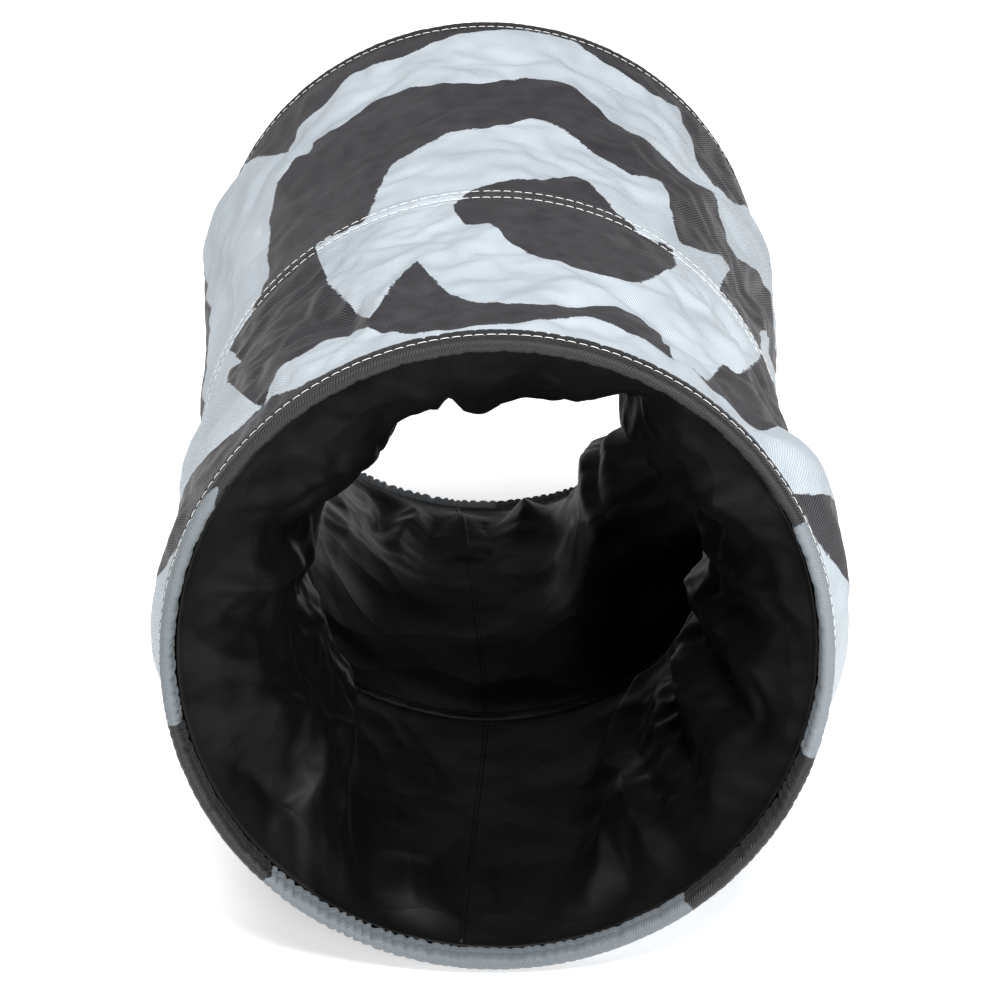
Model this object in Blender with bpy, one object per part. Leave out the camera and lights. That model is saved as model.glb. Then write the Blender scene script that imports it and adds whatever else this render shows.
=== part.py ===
"""Small collapsible agility tunnel: three wire hoops inside a printed fabric tube with a dark lining.

Metres, +Z up. The tunnel lies along Y on the floor, with its short front half towards -Y.
The origin is on the floor, under the middle of the tunnel's length.
Round pieces are many-sided rings with a flat facet underneath. Their radii are measured to the flats,
and a section gives each point as its place along the tunnel and its depth below the outer face.
An angle round the tunnel starts at 0 underneath and reaches a quarter turn at +X.
"""

import math

import bmesh
import bpy
from mathutils import Matrix, Vector

FACETS = 32
FACET_ANGLE = 2 * math.pi / FACETS
CLEARANCE = 0.0003

# The tube and its hoops
END_RADIUS = 0.125
MIDDLE_RADIUS = 0.1205
FRONT_Y = -0.215
MIDDLE_Y = -0.014
REAR_Y = 0.215
FRONT_LEAN = math.radians(4.8)
REAR_LEAN = math.radians(4.2)

# Wire hoops, and the crimped sleeve that joins each hoop's two ends
WIRE_RADIUS = 0.0011
WIRE_SIDES = 8
WIRE_END_GAP = 0.0010
SLEEVE_FACET = 5
SLEEVE_LENGTH = 0.016
SLEEVE_BORE = 0.0014
SLEEVE_RADIUS = 0.0019
SLEEVE_SIDES = 10

# Fabric folded round the wires
FOLD_THICKNESS = 0.0010
POCKET_HALF = 0.0022
POCKET_SLIT_HALF = 0.0006
FOLD_HALF = POCKET_HALF + FOLD_THICKNESS
FOLD_DEPTH = 2 * FOLD_HALF
HEM_DEPTH = 0.009
HEM_STITCH = 0.006
SEAM_HALF_WIDTH = 0.007
SEAM_STITCH = 0.005

# A line of stitching lies in a shallow groove that the thread pulls into the fabric
THREAD_HALF_WIDTH = 0.0003
THREAD_THICKNESS = 0.0004
THREAD_INSET = 0.00005
GROOVE_DEPTH = 0.0007
GROOVE_HALF_WIDTH = THREAD_HALF_WIDTH + CLEARANCE

# Panels between the hoops
PANEL_THICKNESS = 0.0010
PANEL_STEPS = 6
FRONT_BULGE = 0.006
REAR_BULGE = 0.002
FRONT_SAG = 0.005
REAR_SAG = 0.003
LINING_SAG = 0.024
SIDE_SEAM_WIDTH = 0.008
LINING_SEAM_WIDTH = 0.003
SEAM_THICKNESS = 0.0010
RIDGE_HALF_WIDTH = 0.0025
RIDGE_HEIGHT = 0.0015

FINISHES = {
    "printed_twill": {"color": (0.42, 0.46, 0.50, 1.0), "roughness": 0.85, "metallic": 0.0},
    "lining_cloth": {"color": (0.02, 0.02, 0.023, 1.0), "roughness": 0.70, "metallic": 0.0},
    "white_thread": {"color": (0.85, 0.85, 0.83, 1.0), "roughness": 0.80, "metallic": 0.0},
    "spring_steel": {"color": (0.35, 0.35, 0.36, 1.0), "roughness": 0.35, "metallic": 1.0},
    "crimp_metal": {"color": (0.60, 0.60, 0.62, 1.0), "roughness": 0.40, "metallic": 1.0},
}


def clear_scene():
    """Remove every object that the start-up file holds."""
    for thing in list(bpy.data.objects):
        bpy.data.objects.remove(thing, do_unlink=True)


def make_material(finish, name):
    """Give a piece its own material in one of the finishes."""
    material = bpy.data.materials.new(name)
    material.use_nodes = True
    shader = material.node_tree.nodes["Principled BSDF"]
    shader.inputs["Base Color"].default_value = FINISHES[finish]["color"]
    shader.inputs["Roughness"].default_value = FINISHES[finish]["roughness"]
    shader.inputs["Metallic"].default_value = FINISHES[finish]["metallic"]
    material.diffuse_color = FINISHES[finish]["color"]
    return material


def make_pivot(name, location, lean=0.0, parent=None):
    """Place an empty on a joint's axis."""
    pivot = bpy.data.objects.new(name, None)
    bpy.context.scene.collection.objects.link(pivot)
    pivot.parent = parent
    pivot.location = location
    pivot.rotation_euler = (lean, 0, 0)
    return pivot


def make_solid(name, loops, finish, parent, closed=True):
    """Skin a row of point loops into one solid. A row that isn't closed gets an end face at each end."""
    build = bmesh.new()
    rows = [[build.verts.new(point) for point in loop] for loop in loops]
    count = len(rows[0])
    last = len(rows) if closed else len(rows) - 1
    for row in range(last):
        here = rows[row]
        beyond = rows[(row + 1) % len(rows)]
        for side in range(count):
            after = (side + 1) % count
            build.faces.new((here[side], here[after], beyond[after], beyond[side]))
    if not closed:
        build.faces.new(rows[0])
        build.faces.new(rows[-1])
    bmesh.ops.recalc_face_normals(build, faces=build.faces)
    mesh = bpy.data.meshes.new(name)
    build.to_mesh(mesh)
    build.free()
    mesh.shade_smooth()
    mesh.set_sharp_from_angle(angle=math.radians(30))
    piece = bpy.data.objects.new(name, mesh)
    bpy.context.scene.collection.objects.link(piece)
    piece.parent = parent
    mesh.materials.append(make_material(finish, name))
    return piece


def ring_point(along, depth, angle, outer_radius):
    """A point on a many-sided ring whose outer face stands on local z = 0."""
    facet = round(angle / FACET_ANGLE)
    reach = (outer_radius - depth) / math.cos(angle - facet * FACET_ANGLE)
    return Vector((reach * math.sin(angle), along, outer_radius - reach * math.cos(angle)))


def corner_angles():
    """The angles of a ring's corners. One facet is centred underneath."""
    return [(number + 0.5) * FACET_ANGLE for number in range(FACETS)]


def make_ring(name, section, outer_radius, finish, parent):
    """Turn a section of (along, depth) points round the tunnel."""
    loops = [
        [ring_point(along, depth, angle, outer_radius) for along, depth in section]
        for angle in corner_angles()
    ]
    return make_solid(name, loops, finish, parent)


def wire_section():
    """A round wire's section, centred in the fabric pocket."""
    turn = 2 * math.pi / WIRE_SIDES
    return [
        (
            WIRE_RADIUS * math.sin((side + 0.5) * turn),
            FOLD_HALF + WIRE_RADIUS * math.cos((side + 0.5) * turn),
        )
        for side in range(WIRE_SIDES)
    ]


def make_wire(name, outer_radius, parent):
    """A wire bent into a hoop, whose two ends almost meet inside the sleeve."""
    joint = SLEEVE_FACET * FACET_ANGLE
    half_gap = WIRE_END_GAP / 2 / (outer_radius - FOLD_HALF)
    angles = [joint + half_gap]
    angles += [joint + (number + 0.5) * FACET_ANGLE for number in range(FACETS)]
    angles += [joint + 2 * math.pi - half_gap]
    loops = [
        [ring_point(along, depth, angle, outer_radius) for along, depth in wire_section()]
        for angle in angles
    ]
    return make_solid(name, loops, "spring_steel", parent, closed=False)


def make_sleeve(name, outer_radius, parent):
    """A short tube over the wire's two ends, straight along one facet."""
    angle = SLEEVE_FACET * FACET_ANGLE
    centre = ring_point(0, FOLD_HALF, angle, outer_radius)
    outward = Vector((math.sin(angle), 0, -math.cos(angle)))
    tangent = Vector((math.cos(angle), 0, math.sin(angle)))
    sideways = Vector((0, 1, 0))
    section = [
        (-SLEEVE_LENGTH / 2, SLEEVE_RADIUS),
        (SLEEVE_LENGTH / 2, SLEEVE_RADIUS),
        (SLEEVE_LENGTH / 2, SLEEVE_BORE),
        (-SLEEVE_LENGTH / 2, SLEEVE_BORE),
    ]
    loops = []
    for side in range(SLEEVE_SIDES):
        turn = side * 2 * math.pi / SLEEVE_SIDES
        spoke = outward * math.cos(turn) + sideways * math.sin(turn)
        loops.append([centre + tangent * along + spoke * radius for along, radius in section])
    return make_solid(name, loops, "crimp_metal", parent)


def groove(along):
    """The dip in a fold's outer face round a line of stitching, from low to high along."""
    low = along - GROOVE_HALF_WIDTH
    high = along + GROOVE_HALF_WIDTH
    return [(low, 0), (low, GROOVE_DEPTH), (high, GROOVE_DEPTH), (high, 0)]


def hem_section(facing):
    """Fabric rolled round a wire. facing is +1 where the tube lies towards +Y of the hoop."""
    corner = FOLD_THICKNESS
    outer = [
        (corner - FOLD_HALF, 0),
        *groove(HEM_STITCH),
        (HEM_DEPTH, 0),
        (HEM_DEPTH, FOLD_THICKNESS),
    ]
    pocket = [
        (-POCKET_HALF, FOLD_THICKNESS),
        (-POCKET_HALF, FOLD_DEPTH - FOLD_THICKNESS),
    ]
    inner = [
        (HEM_DEPTH, FOLD_DEPTH - FOLD_THICKNESS),
        (HEM_DEPTH, FOLD_DEPTH),
        (corner - FOLD_HALF, FOLD_DEPTH),
        (-FOLD_HALF, FOLD_DEPTH - corner),
        (-FOLD_HALF, corner),
    ]
    return [(facing * along, depth) for along, depth in outer + pocket + inner]


def casing_section():
    """The seam tape over the middle wire: a flat band outside and a pocket below it, slit inside."""
    right = [
        (SEAM_HALF_WIDTH, 0),
        (SEAM_HALF_WIDTH, FOLD_THICKNESS),
        (FOLD_HALF, FOLD_THICKNESS),
        (FOLD_HALF, FOLD_DEPTH),
        (POCKET_SLIT_HALF, FOLD_DEPTH),
        (POCKET_SLIT_HALF, FOLD_DEPTH - FOLD_THICKNESS),
        (POCKET_HALF, FOLD_DEPTH - FOLD_THICKNESS),
        (POCKET_HALF, FOLD_THICKNESS),
    ]
    left = [(-along, depth) for along, depth in reversed(right)]
    return right + left + groove(-SEAM_STITCH) + groove(SEAM_STITCH)


def thread_section(along):
    """A line of stitching, flush with the fabric that it sinks into."""
    low = along - THREAD_HALF_WIDTH
    high = along + THREAD_HALF_WIDTH
    foot = THREAD_INSET + THREAD_THICKNESS
    return [(low, THREAD_INSET), (high, THREAD_INSET), (high, foot), (low, foot)]


def ridge_section():
    """The edge of the lining's own seam, which stands into the tunnel at the middle hoop."""
    root = FOLD_DEPTH + CLEARANCE
    crest = root + RIDGE_HEIGHT
    return [
        (-RIDGE_HALF_WIDTH, root),
        (RIDGE_HALF_WIDTH, root),
        (RIDGE_HALF_WIDTH, crest),
        (-RIDGE_HALF_WIDTH, crest),
    ]


def hoop_matrix(hoop_y, lean, facing):
    """Where a leaning end hoop stands: its hem's lowest edge touches the floor."""
    return Matrix.Translation((0, hoop_y, HEM_DEPTH * math.sin(lean))) @ Matrix.Rotation(-facing * lean, 4, "X")


def panel_point(half, step, depth, angle, ends):
    """A point of a panel, from its hem (step 0) to the middle seam (last step)."""
    hem_end, seam_end = ends
    share = step / PANEL_STEPS
    at_hem = half["matrix"] @ ring_point(half["facing"] * hem_end, depth, angle, END_RADIUS)
    at_seam = ring_point(MIDDLE_Y - half["facing"] * seam_end, depth, angle, MIDDLE_RADIUS)
    return at_hem.lerp(at_seam, share)


def swell(point, step, angle, out_at_sides, in_at_top):
    """Move a panel point out at the sides and in at the top, most halfway along the panel."""
    halfway = math.sin(math.pi * step / PANEL_STEPS)
    reach = out_at_sides * math.sin(angle) ** 4 - in_at_top * max(0.0, -math.cos(angle)) ** 2
    return point + halfway * reach * Vector((math.sin(angle), 0, -math.cos(angle)))


def make_panel(name, half, depth, ends, swelling, finish):
    """A tube of fabric from a hem to the middle seam, as one skin with an outer and an inner face."""
    loops = []
    for angle in corner_angles():
        outer = []
        inner = []
        for step in range(PANEL_STEPS + 1):
            outer_point = panel_point(half, step, depth, angle, ends)
            inner_point = panel_point(half, step, depth + PANEL_THICKNESS, angle, ends)
            outer.append(swell(outer_point, step, angle, *swelling))
            inner.append(swell(inner_point, step, angle, *swelling))
        loops.append([half["slide"].matrix_world.inverted() @ point for point in outer + inner[::-1]])
    return make_solid(name, loops, finish, half["slide"])


def make_floor_seam(name, half, depth, width, ends, finish):
    """A flat lengthwise seam allowance along the middle of the bottom facet."""
    edge = math.atan(width / 2 / END_RADIUS)
    foot = depth + SEAM_THICKNESS
    corners = [(depth, -edge), (depth, edge), (foot, edge), (foot, -edge)]
    loops = []
    for step in (0, PANEL_STEPS / 2, PANEL_STEPS):
        loop = [panel_point(half, step, level, angle, ends) for level, angle in corners]
        loops.append([half["slide"].matrix_world.inverted() @ point for point in loop])
    return make_solid(name, loops, finish, half["slide"], closed=False)


def make_half(name, hoop_y, lean, facing, bulge, sag):
    """One end of the tunnel: a leaning hoop in its hem, and the fabric from there to the middle seam."""
    slide = make_pivot(name + "_slide", (0, hoop_y, 0))
    bpy.context.view_layer.update()
    matrix = hoop_matrix(hoop_y, lean, facing)
    local = slide.matrix_world.inverted() @ matrix
    hoop = make_pivot(name + "_lean_axis", local.translation, -facing * lean, slide)
    half = {"facing": facing, "matrix": matrix, "slide": slide}
    stitches = thread_section(facing * HEM_STITCH)

    make_wire(name + "_hoop_wire", END_RADIUS, hoop)
    make_sleeve(name + "_wire_sleeve", END_RADIUS, hoop)
    make_ring(name + "_hem", hem_section(facing), END_RADIUS, "printed_twill", hoop)
    make_ring(name + "_hem_stitching", stitches, END_RADIUS, "white_thread", hoop)

    shell_ends = (HEM_DEPTH + CLEARANCE, SEAM_HALF_WIDTH + CLEARANCE)
    lining_ends = (HEM_DEPTH + CLEARANCE, FOLD_HALF + CLEARANCE)
    lining_depth = FOLD_DEPTH - FOLD_THICKNESS
    side_seam_depth = PANEL_THICKNESS + CLEARANCE
    lining_seam_depth = FOLD_DEPTH + CLEARANCE
    make_panel(name + "_outer_panel", half, 0, shell_ends, (bulge, sag), "printed_twill")
    make_panel(name + "_lining", half, lining_depth, lining_ends, (0.0, LINING_SAG), "lining_cloth")
    make_floor_seam(
        name + "_side_seam", half, side_seam_depth, SIDE_SEAM_WIDTH, shell_ends, "printed_twill"
    )
    make_floor_seam(
        name + "_lining_seam", half, lining_seam_depth, LINING_SEAM_WIDTH, lining_ends, "lining_cloth"
    )


def make_middle():
    """The upright middle hoop, sewn into the seam where the two halves of the fabric meet."""
    hoop = make_pivot("middle_hoop_foot", (0, MIDDLE_Y, 0))
    front_stitches = thread_section(-SEAM_STITCH)
    rear_stitches = thread_section(SEAM_STITCH)
    make_wire("middle_hoop_wire", MIDDLE_RADIUS, hoop)
    make_sleeve("middle_wire_sleeve", MIDDLE_RADIUS, hoop)
    make_ring("middle_seam_casing", casing_section(), MIDDLE_RADIUS, "printed_twill", hoop)
    make_ring("middle_front_stitching", front_stitches, MIDDLE_RADIUS, "white_thread", hoop)
    make_ring("middle_rear_stitching", rear_stitches, MIDDLE_RADIUS, "white_thread", hoop)
    make_ring("middle_lining_ridge", ridge_section(), MIDDLE_RADIUS, "lining_cloth", hoop)


def main():
    clear_scene()
    make_middle()
    make_half("front", FRONT_Y, FRONT_LEAN, 1, FRONT_BULGE, FRONT_SAG)
    make_half("rear", REAR_Y, REAR_LEAN, -1, REAR_BULGE, REAR_SAG)


if __name__ == "__main__":
    main()
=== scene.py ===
"""Looks of the small collapsible agility tunnel: printed twill shell, black lining, hems and stitching.

Metres, +Z up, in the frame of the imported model. The tunnel lies along Y with its front end at -Y.
An angle round the tunnel is measured from the top, in degrees, and grows towards +X.
"""

import math

import bmesh
import bpy
import numpy as np
from mathutils import Matrix, Vector, noise
from mathutils.bvhtree import BVHTree


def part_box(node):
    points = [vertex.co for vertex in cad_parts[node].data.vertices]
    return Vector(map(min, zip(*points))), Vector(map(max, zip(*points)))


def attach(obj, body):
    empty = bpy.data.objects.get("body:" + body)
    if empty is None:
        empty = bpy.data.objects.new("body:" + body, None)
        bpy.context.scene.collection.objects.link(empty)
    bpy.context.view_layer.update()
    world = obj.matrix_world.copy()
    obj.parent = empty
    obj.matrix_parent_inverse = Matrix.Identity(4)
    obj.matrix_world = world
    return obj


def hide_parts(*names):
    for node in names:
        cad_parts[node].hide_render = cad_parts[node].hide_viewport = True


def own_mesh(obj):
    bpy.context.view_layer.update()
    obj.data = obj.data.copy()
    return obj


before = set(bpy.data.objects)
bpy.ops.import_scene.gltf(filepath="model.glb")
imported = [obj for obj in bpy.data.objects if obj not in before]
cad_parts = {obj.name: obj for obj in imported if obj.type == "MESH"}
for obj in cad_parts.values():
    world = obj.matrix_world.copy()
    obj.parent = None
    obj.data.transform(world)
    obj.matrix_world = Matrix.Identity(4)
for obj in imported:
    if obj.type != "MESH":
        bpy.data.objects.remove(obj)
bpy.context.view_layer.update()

# --- Sizes ------------------------------------------------------------------------------------

END_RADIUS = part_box("front_hem")[1].x
MIDDLE_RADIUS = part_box("middle_seam_casing")[1].x
MIDDLE_Y = (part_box("middle_seam_casing")[0].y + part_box("middle_seam_casing")[1].y) / 2
FRONT_Y = -0.215
REAR_Y = 0.215
FRONT_LEAN = math.radians(4.8)
REAR_LEAN = math.radians(4.2)

FOLD_HALF = 0.0032
HEM_DEPTH = 0.009
HEM_ROLL = 0.0022
NOSE_STEPS = 14
STITCH_VALLEY = 0.0009
HEM_STITCH = {"front": 0.0038, "rear": 0.0058}
SEAM_HALF_WIDTH = 0.007
SEAM_ROWS = (-0.0044, 0.0014)
LINING_DEPTH = 0.0056

# Simulated cloth: columns round the tunnel and rows along it.
COLUMNS = 208
ROWS = 52
SHELL_THICKNESS = 0.0004
LINING_THICKNESS = 0.0003
FLAT_LENGTH = 0.25
FRAMES = 24
RING_COLUMNS = 540
HEM_COLUMNS = 800
# The angle where the hem strip's ends meet, inside a dark stretch of its print.
HEM_JOIN = -118

TURN = 2 * math.pi
FLOOR_CLEARANCE = 0.0006
FLOOR_DROP = -0.0005
CAMERA_PLACE = (-0.016, -1.488, 0.753)


def smooth(low, high, value):
    """0 below low, 1 above high, and smooth between."""
    share = np.clip((value - low) / (high - low), 0, 1)
    return share * share * (3 - 2 * share)


def hump(value, centre, width):
    """1 at the centre, falling smoothly to 0 at width from it."""
    return 1 - smooth(0, width, np.abs(value - centre))


def turned(angle, centre):
    """Degrees from centre to angle, the short way round."""
    return (angle - centre + 180) % 360 - 180


class Hoop:
    """One wire hoop. Facing is +1 where the tunnel lies on its +Y side, and -1 for its -Y side."""

    def __init__(self, y, radius, lean, facing):
        self.radius = radius
        self.facing = facing
        foot = Matrix.Translation((0, y, HEM_DEPTH * math.sin(lean)))
        place = foot @ Matrix.Rotation(-facing * lean, 4, "X")
        self.rotation = np.array(place.to_3x3())
        self.foot = np.array(place.translation)

    def points(self, angles, along, depth):
        """Points at angles in radians, some way along from the hoop's plane and a depth below its face."""
        reach = self.radius - depth
        x = reach * np.sin(angles)
        z = self.radius + reach * np.cos(angles)
        y = self.facing * along + 0 * x
        return np.stack([x, y, z], -1) @ self.rotation.T + self.foot


FRONT = Hoop(FRONT_Y, END_RADIUS, FRONT_LEAN, 1)
REAR = Hoop(REAR_Y, END_RADIUS, REAR_LEAN, -1)
MIDDLE = Hoop(MIDDLE_Y, MIDDLE_RADIUS, 0.0, 1)


# --- Print: light shapes on charcoal, in degrees from the top and millimetres along Y -----------

REAR_STRIPE = [
    (-46, 137), (-43, 153), (-34, 160), (-28, 171), (-20, 166), (-14, 169), (-6, 181), (2, 186),
    (13, 192), (18, 190), (21, 181), (32, 167), (40, 171), (44, 178), (46, 161), (49, 128), (53, 121),
    (60, 134), (69, 170), (80, 195), (96, 190), (104, 150), (92, 118), (77, 108), (68, 92), (60, 70),
    (54, 90), (52, 106), (46, 96), (32, 97), (26, 100), (18, 123), (13, 131), (5, 124), (-1, 116),
    (-7, 115), (-16, 123), (-24, 124), (-32, 112), (-38, 116), (-40, 112),
]
LEFT_BAND = [
    (-78, 208), (-70, 206), (-65, 200), (-58, 181), (-52, 158), (-46, 137), (-38, 116), (-40, 106),
    (-45, 96), (-48, 85), (-50, 60), (-50, 20), (-51, -8), (-54, -18), (-60, -20), (-66, -40),
    (-88, -40), (-84, 40), (-80, 97), (-82, 151), (-84, 190),
]
FRONT_STRIPE = [
    (-63, -17), (-54, -75), (-59, -69), (-51, -126), (-46, -159), (-44, -166), (-42, -153), (-38, -146),
    (-28, -145), (-24, -149), (-20, -165), (-15, -177), (-8, -182), (0, -179), (6, -171), (12, -163),
    (16, -158), (22, -160), (26, -164), (43, -167), (51, -171), (63, -112), (73, -70), (80, -86),
    (81, -110), (76, -134), (70, -156), (64, -178), (58, -194), (49, -194), (38, -200), (22, -198),
    (6, -197), (-10, -191), (-16, -185), (-29, -186), (-36, -182), (-44, -167), (-50, -168), (-56, -162),
    (-64, -151), (-76, -132), (-88, -96), (-88, -50), (-80, -8),
]
MIDDLE_BLOB = [
    (-36, -13), (-30, -15), (-25, -15), (-24, -6), (-22, 16), (-20, 41), (-13, 50), (-8, 62), (-3, 58),
    (2, 62), (9, 75), (14, 70), (22, 53), (29, 47), (36, 57), (38, 19), (40, 4), (45, 14), (56, 47),
    (57, 44), (54, 21), (50, -12), (58, -12), (66, -6), (60, -50), (49, -117), (45, -121), (39, -163),
    (32, -165), (29, -140), (22, -136), (15, -145), (3, -152), (-6, -146), (-10, -123), (-14, -92),
    (-17, -106), (-22, -146), (-27, -112), (-32, -72),
]
DARK_EYE = [
    (-7, -24), (-7, -40), (-5, -55), (-1, -56), (2, -73), (8, -92), (14, -99), (24, -100), (29, -84),
    (33, -60), (37, -36), (37, -14), (30, -19), (24, -5), (20, 12), (16, 20), (10, 5), (4, 2), (-3, -8),
]
SIDE_FLAP = [(70, 35), (77, 61), (84, 50), (83, 5), (76, -14), (70, -13), (66, -8)]
RIGHT_SIDE = [
    (96, 70), (112, 96), (134, 82), (150, 40), (140, -20), (118, -62), (98, -60), (104, -20), (112, 20),
    (104, 48),
]
RIGHT_FRONT = [
    (56, -214), (63, -192), (72, -188), (80, -183), (90, -173), (104, -150), (122, -118), (146, -128),
    (170, -160), (186, -190), (186, -214),
]
LEFT_FRONT = [
    (-58, -214), (-67, -194), (-72, -190), (-78, -182), (-88, -172), (-98, -160), (-116, -150),
    (-126, -182), (-101, -214),
]
FLOOR_PATCH = [(160, 150), (178, 172), (200, 166), (222, 120), (216, 60), (196, 22), (176, 40), (170, 90)]
LEFT_REAR_LOW = [
    (234, 206), (226, 150), (236, 96), (250, 70), (262, 92), (262, 140), (266, 180), (262, 206),
]
PRINT_BLUR = 24
LIGHT_SHAPES = [
    REAR_STRIPE, LEFT_BAND, FRONT_STRIPE, MIDDLE_BLOB, SIDE_FLAP, RIGHT_SIDE, RIGHT_FRONT, FLOOR_PATCH,
    LEFT_REAR_LOW, LEFT_FRONT,
]
DARK_SHAPES = [DARK_EYE]
MM_PER_DEGREE = math.radians(1) * END_RADIUS * 1000
OUTLINE_STEPS = 4
OUTLINE_ROUNDING = 0.35


def rounded(outline):
    """The outline as a smooth closed curve through its points, on the unrolled cloth in millimetres."""
    points = np.array([(angle * MM_PER_DEGREE, y) for angle, y in outline], float)
    before, after, beyond = (np.roll(points, shift, 0) for shift in (1, -1, -2))
    curve = []
    for step in range(OUTLINE_STEPS):
        t = step / OUTLINE_STEPS
        straight = points + (after - points) * t
        bent = 0.5 * (
            2 * points
            + (after - before) * t
            + (2 * before - 5 * points + 4 * after - beyond) * t * t
            + (3 * points - before - 3 * after + beyond) * t ** 3
        )
        curve.append(straight + (bent - straight) * OUTLINE_ROUNDING)
    return np.stack(curve, 1).reshape(-1, 2)


def inside_distance(places, outline):
    """Millimetres from each place to the outline: above 0 inside it and below 0 outside it."""
    nearest = np.full(len(places), 1e9)
    crossings = np.zeros(len(places), bool)
    for start, end in zip(outline, np.roll(outline, -1, 0)):
        edge = end - start
        offset = places - start
        share = np.clip((offset @ edge) / max(edge @ edge, 1e-9), 0, 1)
        nearest = np.minimum(nearest, np.hypot(*(offset - share[:, None] * edge).T))
        spans = (start[1] > places[:, 1]) != (end[1] > places[:, 1])
        rise = edge[1] if abs(edge[1]) > 1e-9 else 1e-9
        crossings ^= spans & (places[:, 0] < start[0] + (places[:, 1] - start[1]) * edge[0] / rise)
    return np.where(crossings, nearest, -nearest)


def print_depth(angle, y):
    """How far inside the light print each place is, in millimetres. Below 0 it is charcoal."""
    found = np.full(len(angle), -1e9)
    for full_turn in (-360, 0, 360):
        places = np.stack([(angle + full_turn) * MM_PER_DEGREE, y * 1000], -1)
        light = np.full(len(angle), -1e9)
        for shape in LIGHT_SHAPES:
            light = np.maximum(light, inside_distance(places, rounded(shape)))
        for shape in DARK_SHAPES:
            light = np.minimum(light, -inside_distance(places, rounded(shape)))
        found = np.maximum(found, light)
    return np.clip(found, -20, 20)


def tube_centre(y):
    """Height of the tunnel's axis at each place along it."""
    to_front = (MIDDLE_Y - y) / (MIDDLE_Y - FRONT_Y)
    to_rear = (y - MIDDLE_Y) / (REAR_Y - MIDDLE_Y)
    share = np.where(y < MIDDLE_Y, to_front, to_rear)
    return MIDDLE_RADIUS + (END_RADIUS - MIDDLE_RADIUS) * np.clip(share, 0, 1.05)


# --- Mesh helpers -------------------------------------------------------------------------------


def make_piece(name, points, faces, material):
    """A smooth-shaded mesh object."""
    mesh = bpy.data.meshes.new(name)
    mesh.from_pydata(points.reshape(-1, 3).tolist(), [], faces)
    mesh.shade_smooth()
    mesh.materials.append(material)
    piece = bpy.data.objects.new(name, mesh)
    bpy.context.scene.collection.objects.link(piece)
    return piece


def grid_faces(rows, columns, closed_rows):
    """Quads of a grid whose columns close into a ring, and whose rows may close too."""
    count = rows if closed_rows else rows - 1
    faces = []
    for row in range(count):
        below = row * columns
        above = (row + 1) % rows * columns
        for column in range(columns):
            after = (column + 1) % columns
            faces.append((below + column, below + after, above + after, above + column))
    return faces


def coordinates(mesh):
    flat = np.empty(len(mesh.vertices) * 3, np.float32)
    mesh.vertices.foreach_get("co", flat)
    return flat.reshape(-1, 3).astype(float)


def set_coordinates(mesh, points):
    mesh.vertices.foreach_set("co", points.astype(np.float32).ravel())
    mesh.update()


def set_attribute(piece, name, values):
    """A number for each vertex, which the materials read."""
    attribute = piece.data.attributes.new(name, "FLOAT", "POINT")
    attribute.data.foreach_set("value", np.asarray(values, np.float32))


def apply_modifiers(piece):
    """Turn the piece's modifiers into plain mesh."""
    graph = bpy.context.evaluated_depsgraph_get()
    mesh = bpy.data.meshes.new_from_object(piece.evaluated_get(graph), depsgraph=graph)
    piece.modifiers.clear()
    piece.shape_key_clear()
    old = piece.data
    piece.data = mesh
    bpy.data.meshes.remove(old)
    piece.data.name = piece.name


def wander(values, seed, octaves=3):
    """Smooth noise from -1 to 1 for each row of values, the same on every run."""
    shift = Vector((seed * 17.3, seed * 5.1, seed * 29.7))
    return np.array([noise.fractal(Vector(value) + shift, 1.0, 2.0, octaves) for value in values])


def facets(places, scale, seed, stretch=1.0):
    """Crumpled facets with sharp folds between them, from about -0.5 to 0.5 for each place."""
    shift = Vector((seed * 3.7, seed * 9.1, seed * 1.3))
    bent = places + 0.012 * np.stack([wander(places * 20, seed + step, 2) for step in (1, 2, 3)], -1)
    bent = bent * scale * (1, 1 / stretch, 1)
    return np.array([noise.voronoi(Vector(place) + shift)[0][0] for place in bent]) - 0.5


def ring_noise(angles, seed, detail):
    """Smooth noise round a ring, with about detail waves in a turn."""
    places = np.stack([np.cos(angles), np.sin(angles), 0 * angles], -1) * detail / TURN * 2
    return wander(places, seed, 2)


def ripple(angles, seed, waves):
    """Narrow creases round a ring, 0 on the smooth stretches and 1 at a crease."""
    jitter = ring_noise(angles, seed, 23) * 1.7
    wave = 0.5 + 0.5 * np.cos(angles * waves + jitter * 3)
    return wave ** 4


# --- Materials ----------------------------------------------------------------------------------


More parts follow.
